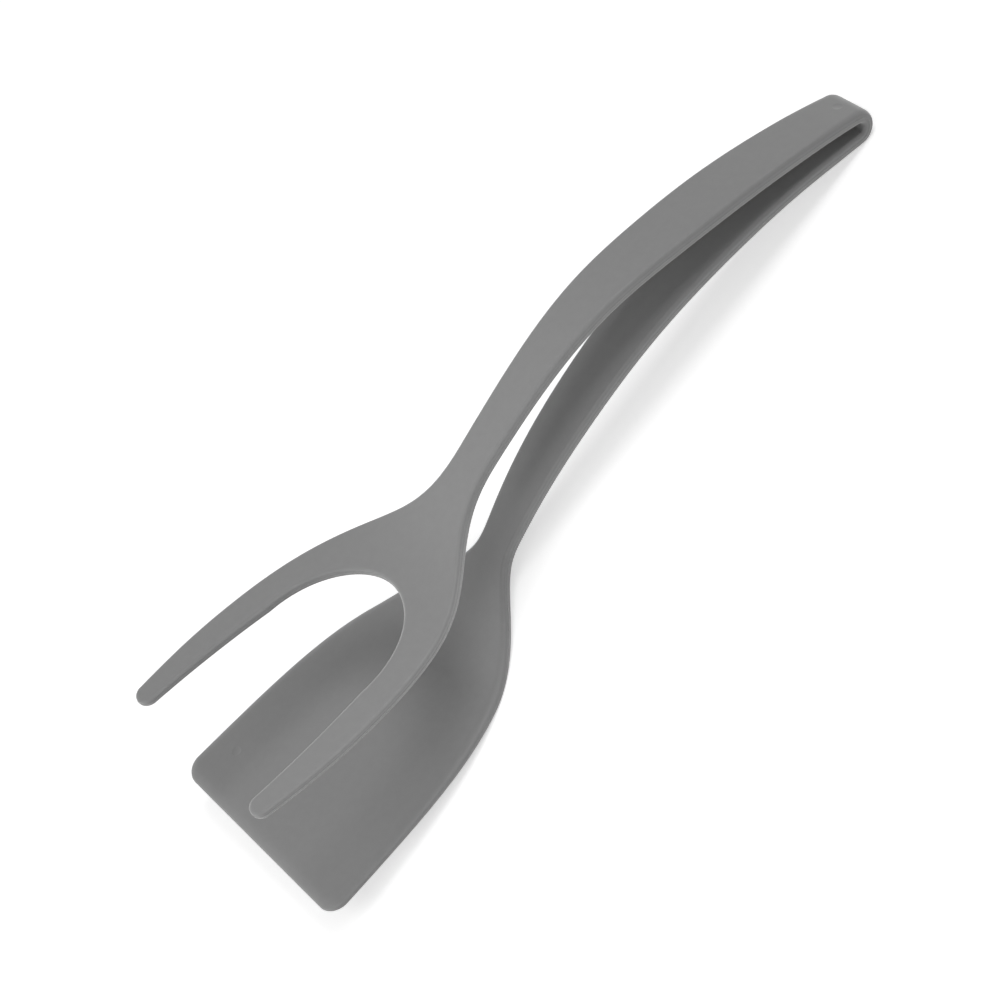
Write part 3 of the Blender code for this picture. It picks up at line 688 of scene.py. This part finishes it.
def mark_stamp(strap, marks, s, y, face):
    """A flat ellipsoid whose end presses a shallow round hollow into the inner or the outer face."""
    reach = marks.radius / math.sqrt(1 - (STAMP_HEIGHT / (STAMP_HEIGHT + 1)) ** 2)
    depth = marks.depth * (STAMP_HEIGHT + 1)
    middle = float(strap.thickness(s)) / 2 + depth - marks.depth
    stamp = bmesh.new()
    around, down = STAMP_SEGMENTS
    bmesh.ops.create_uvsphere(stamp, u_segments=around, v_segments=down, radius=1)
    bmesh.ops.scale(stamp, vec=(reach, reach, depth), verts=stamp.verts)
    bmesh.ops.translate(stamp, vec=(s, y, face * middle), verts=stamp.verts)
    return bend(stamp, strap, np.array([vert.co for vert in stamp.verts]))


def carve(bm, cutters):
    """The shape with the cutters taken out of it."""
    shape, *tools = [mesh_object("shape", part) for part in (bm, *cutters)]
    for tool in tools:
        modifier = shape.modifiers.new("cut", "BOOLEAN")
        modifier.operation = "DIFFERENCE"
        modifier.solver = "EXACT"
        modifier.object = tool
    carved = finished_shape(shape)
    for mesh in [obj.data for obj in (shape, *tools)]:
        bpy.data.meshes.remove(mesh)
    return carved


def bend(bm, strap, pattern):
    """Moves each vertex from its place in the flat pattern to where the tongs lie on the table."""
    for vert, co in zip(bm.verts, strap.stand(strap.place(pattern))):
        vert.co = co
    bmesh.ops.recalc_face_normals(bm, faces=bm.faces)
    if bm.calc_volume(signed=True) < 0:
        bmesh.ops.reverse_faces(bm, faces=bm.faces)
    return bm


def form(bm, strap, press=None, parting=False, rim=None):
    """Creases a flat pattern finely, presses it to its thickness and bends it to the side profile."""
    lengths = [vert.co.x for vert in bm.verts]
    start, stop = max(min(lengths), 0), min(max(lengths), strap.end)
    for s in strap.stations(start, stop):
        crease(bm, (s, 0, 0), (1, 0, 0))
    if parting:
        add_parting_line(bm, strap)
    bmesh.ops.dissolve_degenerate(bm, dist=MERGE, edges=bm.edges)
    if rim is not None:
        sink_rim(bm, rim, strap)
    pattern = np.array([vert.co for vert in bm.verts])
    if press:
        pattern[:, 2] = press(pattern[:, 0], pattern[:, 2])
    return bend(bm, strap, pattern)


def cross_creases(bm):
    """Creases along the strap, so that wide heads have even faces."""
    half = max(abs(vert.co.y) for vert in bm.verts)
    count = int(half / CROSS_STEP)
    for i in range(-count, count + 1):
        crease(bm, (0, i * CROSS_STEP, 0), (0, 1, 0))


def lip_creases(bm, heads):
    """Fine creases across the blade's rolled lip."""
    for i in range(1, LIP_STATIONS):
        crease(bm, (heads.lip_taper * (i / LIP_STATIONS) ** 2, 0, 0), (1, 0, 0))


def plate_outlines(strap, insert):
    """Flat patterns of the blade plate and the fork plate."""
    wall = insert.side_wall
    blade_stop = strap.along(strap.size.neck_at - insert.blade_plate_to_neck) + wall
    fork_stop = strap.along(strap.crotch_end + insert.fork_plate_tail, upper=True) - wall
    blade = grown(blade_outline(strap, insert.blade_lip - wall, blade_stop), -wall)
    fork = grown(fork_outline(strap, insert.prong_lip - wall, fork_stop), -wall)
    return blade, fork


def plate_posts(strap, insert):
    """Posts of silicone that fill the plates' holes, for the blade and for the fork."""
    radius = insert.plate_hole - insert.gap
    front = insert.blade_lip + insert.blade_holes_front
    rows = (strap.along(front), strap.along(front + insert.blade_hole_rows))
    blade = [(s, side * insert.blade_hole_pitch) for s in rows for side in (-1, 0, 1)]
    crotch = strap.along(strap.crotch_end, upper=True)
    fork = [(crotch, side * insert.fork_hole_pitch / 2) for side in (-1, 1)]
    return [[circle(at, radius) for at in places] for places in (blade, fork)]


def plate_room(strap, insert, outline, posts):
    """The room for a head plate in the skin, as thick as the skin less its walls."""
    flat = strap.heads.blade_thickness

    def press(s, depth):
        return depth * (strap.thickness(s, lip=False) - 2 * insert.head_wall) / flat

    return form(flat_mesh(grown(outline, insert.gap), flat, holes=posts), strap, press)


def strip_outline(strap, insert):
    """The spring strip's flat pattern: a long strap with a T at each end."""
    start = strap.along(strap.size.neck_at - insert.blade_plate_to_neck - insert.strip_in_blade)
    stop = strap.along(strap.crotch_end + insert.fork_plate_tail - insert.strip_in_fork, upper=True)
    head, neck = insert.head_width / 2, insert.strip_width / 2
    ends = (start + insert.head_length, stop - insert.head_length)
    half = [(start, head), (ends[0], head), (ends[0], neck), (ends[1], neck), (ends[1], head), (stop, head)]
    return mirrored(half)


def strip_holes(strap, insert, radius):
    """Holes along both arms of the spring strip."""
    first = strap.size.neck_at - insert.blade_plate_to_neck + insert.strip_first_hole
    places = [first + i * insert.strip_hole_pitch for i in range(HOLES_PER_ARM)]
    return [circle((strap.along(x, upper), 0), radius) for upper in (False, True) for x in places]


def strip_room(strap, insert):
    """The room for the spring strip in the skin, with posts of silicone through its holes."""
    posts = strip_holes(strap, insert, insert.strip_hole - insert.gap)
    outline = grown(strip_outline(strap, insert), insert.gap)
    return form(flat_mesh(outline, insert.strip_thickness + 2 * insert.gap, holes=posts), strap)


def add_piece(name, bm, material):
    """Makes the finished mesh an object at the origin, smooth but for its sharp edges."""
    piece = mesh_object(name, bm)
    piece.data.materials.append(material)
    piece.data.shade_smooth()
    piece.data.set_sharp_from_angle(angle=SHARP_ANGLE)
    weighted = piece.modifiers.new("even_shading", "WEIGHTED_NORMAL")
    weighted.keep_sharp = True
    weighted.weight = 100
    return piece


def blend_arm(piece, strap, upper):
    """Works out the ends of the piece's flexure, but does not make the piece bend there; bakes its placement
    into its mesh.
    """
    flexure = strap.flexure(upper)
    reach = -FLEXURE_REACH if upper else FLEXURE_REACH
    ends = [(flexure - reach, 0, 0), (flexure + reach, 0, 0)]
    start, end = strap.stand(strap.place(ends))
    tuple(start)
    tuple(end)
    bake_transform(piece)


def fill(node, values):
    """Sets the node's own sockets, by name."""
    for socket, value in values.items():
        node.inputs[socket].default_value = value


def new_material(name, rgb, roughness, metallic=0.0):
    material = bpy.data.materials.new(name)
    material.use_nodes = True
    shader = material.node_tree.nodes["Principled BSDF"]
    fill(shader, {"Base Color": (*rgb, 1), "Roughness": roughness, "Metallic": metallic})
    return material, shader


class Nodes:
    """Adds nodes to a material or to the world and joins them."""

    def __init__(self, owner):
        self.tree = owner.node_tree

    def add(self, kind, **settings):
        node = self.tree.nodes.new("ShaderNode" + kind)
        for name, value in settings.items():
            setattr(node, name, value)
        return node

    def join(self, source, target):
        self.tree.links.new(source, target)

    def noise(self, scale, detail, stretch=None):
        """Noise on Object coordinates, its scale in spots a metre."""
        texture = self.add("TexNoise")
        fill(texture, {"Scale": scale, "Detail": detail})
        place = self.tree.nodes.get("Texture Coordinate") or self.add("TexCoord")
        source = place.outputs["Object"]
        if stretch:
            mapping = self.add("Mapping")
            fill(mapping, {"Scale": stretch})
            self.join(source, mapping.inputs["Vector"])
            source = mapping.outputs["Vector"]
        self.join(source, texture.inputs["Vector"])
        return texture.outputs["Fac"]

    def ramp(self, factor, low, high):
        """A colour or grey between two ends, following a factor."""
        mix = self.add("Mix", data_type="RGBA")
        self.join(factor, mix.inputs["Factor"])
        fill(mix, {"A": (*low, 1), "B": (*high, 1)})
        return mix.outputs["Result"]

    def span(self, factor, low, high):
        """A number between two ends, following a factor."""
        span = self.add("MapRange")
        self.join(factor, span.inputs["Value"])
        least, most = NOISE_RANGE
        fill(span, {"From Min": least, "From Max": most, "To Min": low, "To Max": high})
        return span.outputs["Result"]

    def seen(self):
        """One on the rays that see things as the camera does, also in gloss and through clear pieces."""
        path = self.add("LightPath")
        factor = path.outputs["Is Camera Ray"]
        for kind in ("Is Glossy Ray", "Is Transmission Ray"):
            either = self.add("Math", operation="MAXIMUM")
            self.join(factor, either.inputs[0])
            self.join(path.outputs[kind], either.inputs[1])
            factor = either.outputs[0]
        return factor

    def bump(self, height, distance, strength=1.0, under=None):
        bump = self.add("Bump")
        fill(bump, {"Distance": distance, "Strength": strength})
        self.join(height, bump.inputs["Height"])
        if under:
            self.join(under, bump.inputs["Normal"])
        return bump.outputs["Normal"]

    def finish(self, shader, colours, gloss, relief):
        for source, socket in ((colours, "Base Color"), (gloss, "Roughness"), (relief, "Normal")):
            self.join(source, shader.inputs[socket])


def silicone_material(finish):
    """Matt silicone: a fine spark-eroded mould texture, soft mottling and slightly uneven gloss."""
    grey = Vector(finish.silicone)
    material, shader = new_material("matt_silicone", finish.silicone, finish.silicone_roughness)
    fill(shader, {"IOR": 1.41, "Sheen Weight": 0.8, "Sheen Roughness": 0.5})
    nodes = Nodes(material)
    mottle = nodes.span(nodes.noise(scale=380, detail=6), low=0, high=1)
    colours = nodes.ramp(mottle, low=grey * 0.975, high=grey * 1.025)
    rough = finish.silicone_roughness
    gloss = nodes.span(nodes.noise(scale=90, detail=3), low=rough - 0.05, high=rough + 0.05)
    grain = nodes.bump(nodes.noise(scale=5200, detail=2), distance=0.012 * MM, strength=0.6)
    swell = nodes.bump(nodes.noise(scale=120, detail=1), distance=0.05 * MM, strength=0.5, under=grain)
    nodes.finish(shader, colours, gloss, swell)
    return material


def steel_material(finish):
    """Cold-rolled stainless, with fine rolling lines along the strip."""
    steel = Vector(finish.steel)
    material, shader = new_material("rolled_stainless", finish.steel, roughness=0.32, metallic=1.0)
    nodes = Nodes(material)
    lines = nodes.noise(scale=900, detail=3, stretch=(0.02, 1, 0.05))
    colours = nodes.ramp(lines, low=steel * 0.9, high=steel * 1.08)
    gloss = nodes.span(lines, low=0.26, high=0.4)
    nodes.finish(shader, colours, gloss, nodes.bump(lines, distance=0.004 * MM))
    return material


def nylon_material(finish):
    """Glass-filled nylon, with short pale fibres lying in the flow near the surface."""
    nylon = Vector(finish.nylon)
    material, shader = new_material("glass_filled_nylon", finish.nylon, roughness=0.5)
    nodes = Nodes(material)
    fibres = nodes.noise(scale=2600, detail=2, stretch=(0.15, 1, 1))
    colours = nodes.ramp(nodes.span(fibres, low=0, high=1), low=nylon * 0.8, high=nylon * 1.8)
    gloss = nodes.span(fibres, low=0.42, high=0.58)
    nodes.finish(shader, colours, gloss, nodes.bump(fibres, distance=0.01 * MM))
    return material


def material_named(name, make):
    """The material, made once."""
    return bpy.data.materials.get(name) or make(bpy.context.scene.tongs_finish)


def add_skin(name, scene, strap, upper, mark):
    """Half of the silicone skin, with rooms for what it is moulded on and a mark (length, side, face)."""
    insert = scene.tongs_insert
    outward = -1 if upper else 1
    outline = fork_outline if upper else blade_outline
    pattern = np.array(outline(strap, 0, strap.heel + outward * PAST_HEEL))
    bm = flat_mesh(pattern, strap.size.arm_thickness, strap.size.edge_radius)
    widen_roll(bm, pattern, strap)
    cut_off(bm, strap.heel, outward)
    cross_creases(bm)
    if not upper:
        lip_creases(bm, strap.heads)
    form(bm, strap, strap.press, parting=True, rim=None if upper else pattern)
    plate, posts = plate_outlines(strap, insert)[upper], plate_posts(strap, insert)[upper]
    rooms = [plate_room(strap, insert, plate, posts), strip_room(strap, insert)]
    bm = carve(bm, [*rooms, mark_stamp(strap, scene.tongs_marks, *mark)])
    return add_piece(name, bm, material_named("matt_silicone", silicone_material))


class TONGS_OT_spatula_side(bpy.types.Operator):
    """Lower half of the silicone skin: blade, lower arm and half of the heel bend"""

    bl_idname = "tongs.spatula_side"
    bl_label = "Spatula side"

    def execute(self, context):
        scene, strap = context.scene, Strap(context.scene)
        mark = (scene.tongs_marks.blade_from_front, scene.tongs_marks.blade_from_middle, INNER_FACE)
        skin = add_skin("silicone_spatula_side", scene, strap, False, mark)
        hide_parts("spatula_skin", "heel_skin")
        blend_arm(skin, strap, upper=False)
        return {"FINISHED"}


class TONGS_OT_fork_side(bpy.types.Operator):
    """Upper half of the silicone skin: half of the heel bend, upper arm, palm and two prongs"""

    bl_idname = "tongs.fork_side"
    bl_label = "Fork side"

    def execute(self, context):
        scene, strap = context.scene, Strap(context.scene)
        at = float(strap.along(strap.size.length - scene.tongs_marks.heel_from_end, upper=True))
        skin = add_skin("silicone_fork_side", scene, strap, True, (at, 0, OUTER_FACE))
        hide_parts("fork_skin", "heel_skin")
        blend_arm(skin, strap, upper=True)
        return {"FINISHED"}


class TONGS_OT_spring_strip(bpy.types.Operator):
    """Both halves of the spring strip inside the skin, which meet in the heel bend"""

    bl_idname = "tongs.spring_strip"
    bl_label = "Spring strip"

    def execute(self, context):
        strap, insert = Strap(context.scene), context.scene.tongs_insert
        material = material_named("rolled_stainless", steel_material)
        for upper in (False, True):
            holes = strip_holes(strap, insert, insert.strip_hole)
            bm = flat_mesh(strip_outline(strap, insert), insert.strip_thickness, holes=holes)
            cut_off(bm, strap.heel, -1 if upper else 1)
            form(bm, strap)
            name = "spring_strip_fork_side" if upper else "spring_strip_spatula_side"
            piece = add_piece(name, bm, material)
            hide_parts("spring_strip")
            blend_arm(piece, strap, upper)
        return {"FINISHED"}


class TONGS_OT_head_plates(bpy.types.Operator):
    """Finish of the two stiff plates inside the heads"""

    bl_idname = "tongs.head_plates"
    bl_label = "Head plates"

    def execute(self, context):
        material = material_named("glass_filled_nylon", nylon_material)
        for name in ("blade_plate", "fork_plate"):
            plate = frame["nodes"][name]
            plate.data.materials.clear()
            plate.data.materials.append(material)
        return {"FINISHED"}


class TONGS_OT_stage(bpy.types.Operator):
    """Plain pale floor, soft studio light and the camera"""

    bl_idname = "tongs.stage"
    bl_label = "Stage"

    def execute(self, context):
        scene = context.scene
        stage = scene.tongs_stage
        self.add_floor(stage)
        self.add_sky(scene, stage)
        for name, *where in SOFTBOXES:
            self.add_softbox(f"{name}_softbox", getattr(stage, f"{name}_power"), *where)
        self.add_camera(scene, stage)
        scene.view_settings.view_transform = "Standard"
        return {"FINISHED"}

    def add_floor(self, stage):
        bm = bmesh.new()
        bmesh.ops.create_grid(bm, x_segments=1, y_segments=1, size=FLOOR_HALF)
        floor = mesh_object("studio_floor", bm)
        material, shader = new_material("studio_floor", stage.floor, roughness=0.9)
        fill(shader, {"Specular IOR Level": 0, "Emission Color": WHITE})
        nodes = Nodes(material)
        lift = nodes.add("Math", operation="MULTIPLY")
        lift.inputs[1].default_value = stage.floor_lift
        nodes.join(nodes.seen(), lift.inputs[0])
        nodes.join(lift.outputs[0], shader.inputs["Emission Strength"])
        floor.data.materials.append(material)

    def add_sky(self, scene, stage):
        """Even white light all round, and plain white behind everything for the camera."""
        world = bpy.data.worlds.new("studio")
        world.use_nodes = True
        scene.world = world
        nodes = Nodes(world)
        light = world.node_tree.nodes["Background"]
        fill(light, {"Color": WHITE, "Strength": stage.sky})
        seen = nodes.add("Background")
        fill(seen, {"Color": WHITE})
        mix = nodes.add("MixShader")
        nodes.join(nodes.seen(), mix.inputs[0])
        nodes.join(light.outputs[0], mix.inputs[1])
        nodes.join(seen.outputs[0], mix.inputs[2])
        nodes.join(mix.outputs[0], world.node_tree.nodes["World Output"].inputs["Surface"])

    def add_softbox(self, name, power, target, azimuth, elevation, distance, width, depth):
        """A white panel that looks at a place."""
        lamp = bpy.data.lights.new(name, "AREA")
        lamp.shape = "RECTANGLE"
        lamp.size, lamp.size_y = width, depth
        lamp.energy = power
        box = new_object(name, lamp)
        away = view_direction(math.radians(azimuth), math.radians(elevation))
        box.location = Vector(target) + distance * away
        box.rotation_euler = (-away).to_track_quat("-Z", "Y").to_euler()

    def add_camera(self, scene, stage):
        """Looks as the photograph does, from over the near side, turned about its line of sight."""
        strap = Strap(scene)
        back = view_direction(stage.azimuth, stage.elevation)
        target = Vector((stage.target_x, 0, stage.target_z))
        turn = Matrix.Rotation(strap.tilt, 3, "Y")
        place = turn @ (target + stage.distance * back) + Vector(strap.offset)
        aim = back.to_track_quat("Z", "Y").to_matrix() @ Matrix.Rotation(-stage.roll, 3, "Z")
        data = bpy.data.cameras.new("photo_camera")
        data.sensor_width = SENSOR
        data.lens = data.sensor_width * stage.focal_pixels / FRAME_PIXELS
        data.clip_start, data.clip_end = CLIP
        camera = new_object("photo_camera", data)
        camera.matrix_world = Matrix.LocRotScale(place, turn @ aim, None)
        scene.camera = camera


class TONGS_PT_panel(bpy.types.Panel):
    """The tongs' sizes, colours and pieces"""

    bl_idname = "TONGS_PT_panel"
    bl_label = "Spatula tongs"
    bl_space_type = "VIEW_3D"
    bl_region_type = "UI"
    bl_category = "Tongs"

    def draw(self, context):
        layout = self.layout
        for name, group in GROUPS.items():
            box = layout.box()
            box.label(text=group.__doc__)
            settings = getattr(context.scene, name)
            for field in group.__annotations__:
                box.prop(settings, field)
        for operator in OPERATORS:
            layout.operator(operator.bl_idname)


GROUPS = {
    "tongs_strap": TongsStrap,
    "tongs_heads": TongsHeads,
    "tongs_insert": TongsInsert,
    "tongs_marks": TongsMarks,
    "tongs_finish": TongsFinish,
    "tongs_stage": TongsStage,
}
OPERATORS = (
    TONGS_OT_spatula_side,
    TONGS_OT_fork_side,
    TONGS_OT_spring_strip,
    TONGS_OT_head_plates,
    TONGS_OT_stage,
)


def register():
    for name, group in GROUPS.items():
        bpy.utils.register_class(group)
        setattr(bpy.types.Scene, name, PointerProperty(type=group))
    for item in (*OPERATORS, TONGS_PT_panel):
        bpy.utils.register_class(item)


def unregister():
    for item in (TONGS_PT_panel, *reversed(OPERATORS)):
        bpy.utils.unregister_class(item)
    for name, group in reversed(GROUPS.items()):
        delattr(bpy.types.Scene, name)
        bpy.utils.unregister_class(group)


def main():
    register()
    bpy.ops.tongs.spatula_side()
    bpy.ops.tongs.fork_side()
    bpy.ops.tongs.spring_strip()
    bpy.ops.tongs.head_plates()
    bpy.ops.tongs.stage()


if __name__ == "__main__":
    main()
